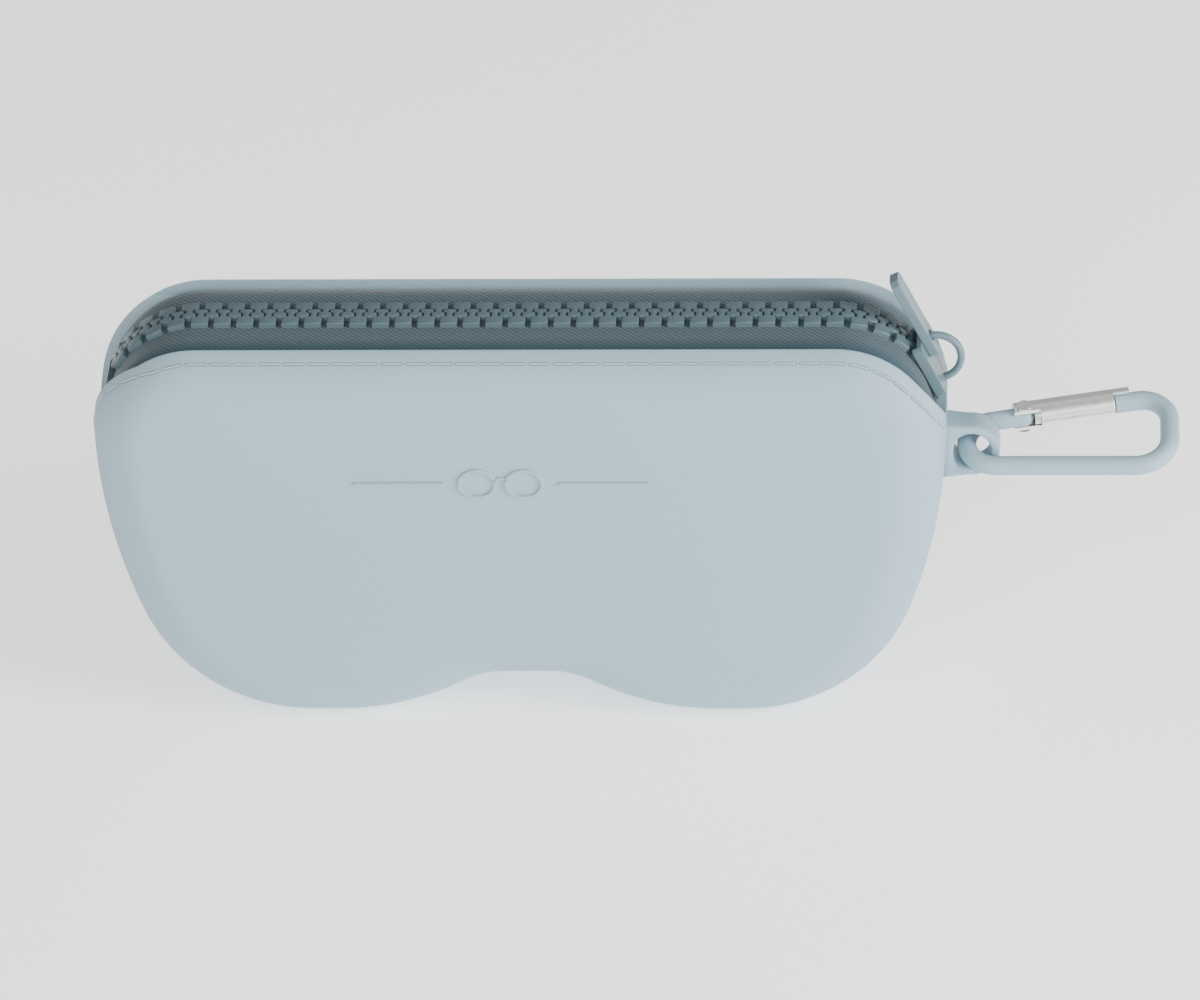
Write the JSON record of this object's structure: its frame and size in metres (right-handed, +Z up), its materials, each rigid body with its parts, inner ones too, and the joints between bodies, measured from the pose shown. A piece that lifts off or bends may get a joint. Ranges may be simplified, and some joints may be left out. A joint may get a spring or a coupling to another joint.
{
  "type": "soft pouch glasses case",
  "caption": "Hollow silicone glasses case with a round-cornered two-lobed outline, a zip along its top, a slider with a pull tab, and a spring clip on a side loop.",
  "frame": {"origin": "centre of the whole part's box in plan, at the level of the two feet; the case's own middle is 21.3 mm to -X of it because the clip stands out to +X", "axes": "+X along the zip towards its closed end and the clip, +Y from the front face to the back face, +Z up out of the zip; the case stands on its two feet"},
  "size_m": [0.1993, 0.0364, 0.0862],
  "materials": {
    "silicone": "matt soft-touch silicone",
    "zip_tape": "woven polyester",
    "zip_teeth": "moulded acetal, satin",
    "seam_thread": "spun polyester thread",
    "zip_stop": "moulded acetal, satin",
    "slider_paint": "satin paint on zinc",
    "clip_paint": "matt coloured coat on aluminium",
    "gate_metal": "drawn, bare",
    "steel": "bright"
  },
  "bodies": {
    "case": {"silicone_body": "silicone", "front_zip_tape": "zip_tape", "back_zip_tape": "zip_tape", "front_zip_teeth": "zip_teeth", "back_zip_teeth": "zip_teeth", "front_seam_thread": "seam_thread", "back_seam_thread": "seam_thread", "front_top_stop": "zip_stop", "back_top_stop": "zip_stop", "bottom_stop": "zip_stop"},
    "slider": {"slider_body": "slider_paint", "slider_crown": "slider_paint"},
    "pull": {"pull_tab": "slider_paint"},
    "clip": {"carabiner_frame": "clip_paint"},
    "gate": {"gate_tube": "gate_metal", "gate_rivet": "steel", "spring_plunger": "steel", "spring_seat": "steel", "gate_spring": "steel"}
  },
  "joints": [
    {"name": "slider_round_corner", "type": "hinge", "parent": "case", "child": "slider", "pos_m": [0.03671, 0, 0.0597], "axis": [0, 1, 0], "range_deg": [-64, 0], "deforming": ["front_zip_teeth", "back_zip_teeth"]},
    {"name": "pull_tab_swing", "type": "hinge", "parent": "slider", "child": "pull", "pos_m": [0.05496, 0, 0.06927], "axis": [0, 1, 0], "range_deg": [0, 150]},
    {"name": "carabiner_swing", "type": "hinge", "parent": "case", "child": "clip", "pos_m": [0.06131, 0, 0.0508], "axis": [0, 1, 0], "range_deg": [-60, 75]},
    {"name": "gate_hinge", "type": "hinge", "parent": "clip", "child": "gate", "pos_m": [0.07081, 0.00605, 0.05288], "axis": [0, 0.3256, -0.9455], "range_deg": [0, 25], "stiffness_Nm_per_rad": 0.01, "springref_deg": -11.46}
  ]
}
